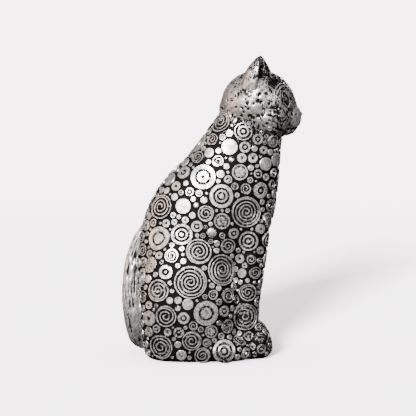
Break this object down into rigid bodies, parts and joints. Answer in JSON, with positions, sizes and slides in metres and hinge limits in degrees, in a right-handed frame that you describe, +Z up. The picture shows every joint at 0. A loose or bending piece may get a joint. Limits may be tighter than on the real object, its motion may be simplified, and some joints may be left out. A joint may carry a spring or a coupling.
{
  "type": "ceramic cat figurine",
  "caption": "Seated cat figurine, hollow ceramic, covered in raised spirals, rings and discs with a silver finish rubbed over black, on felt pads.",
  "frame": {"origin": "centre of the footprint's bounding box, on the table", "axes": "+Z up; the cat looks along +X and its left side, with the tail's end, is +Y"},
  "size_m": [0.1446, 0.1008, 0.24],
  "materials": {
    "blackened_silver": "black ground with silver rubbed over it, satin",
    "rubbed_silver": "silver worn through to black in the pits, satin",
    "bright_silver": "silver on the raised lines, black in the grooves",
    "felt": "black felt"
  },
  "bodies": {
    "root": {"disc_front_05": "rubbed_silver", "disc_right_20": "rubbed_silver", "ear_left": "rubbed_silver", "ear_right": "rubbed_silver", "eye_front_04": "bright_silver", "eye_left": "blackened_silver", "eye_left_05": "bright_silver", "eye_left_07": "bright_silver", "eye_right": "blackened_silver", "eye_right_09": "bright_silver", "eye_right_10": "bright_silver", "felt_pad_front_left": "felt", "felt_pad_front_right": "felt", "felt_pad_rear_left": "felt", "felt_pad_rear_right": "felt", "foot_slab": "blackened_silver", "front_leg_left": "blackened_silver", "front_leg_right": "blackened_silver", "haunch_left": "blackened_silver", "haunch_right": "blackened_silver", "head_shell": "rubbed_silver", "nose": "blackened_silver", "spiral_back_01": "bright_silver", "spiral_front_01": "bright_silver", "spiral_front_03": "bright_silver", "spiral_left_01": "bright_silver", "spiral_left_02": "bright_silver", "spiral_left_03": "bright_silver", "spiral_left_04": "bright_silver", "spiral_left_06": "bright_silver", "spiral_left_08": "bright_silver", "spiral_left_10": "bright_silver", "spiral_right_01": "bright_silver", "spiral_right_02": "bright_silver", "spiral_right_03": "bright_silver", "spiral_right_04": "bright_silver", "spiral_right_05": "bright_silver", "spiral_right_06": "bright_silver", "spiral_right_08": "bright_silver", "spiral_right_13": "bright_silver", "spiral_right_15": "bright_silver", "spiral_right_17": "bright_silver", "spiral_right_18": "bright_silver", "spiral_right_19": "bright_silver", "tail": "rubbed_silver", "target_back_02": "bright_silver", "target_front_02": "bright_silver", "target_left_09": "bright_silver", "target_left_11": "bright_silver", "target_right_07": "bright_silver", "target_right_11": "bright_silver", "target_right_12": "bright_silver", "target_right_14": "bright_silver", "target_right_16": "bright_silver", "torso_shell": "blackened_silver"}
  },
  "joints": []
}
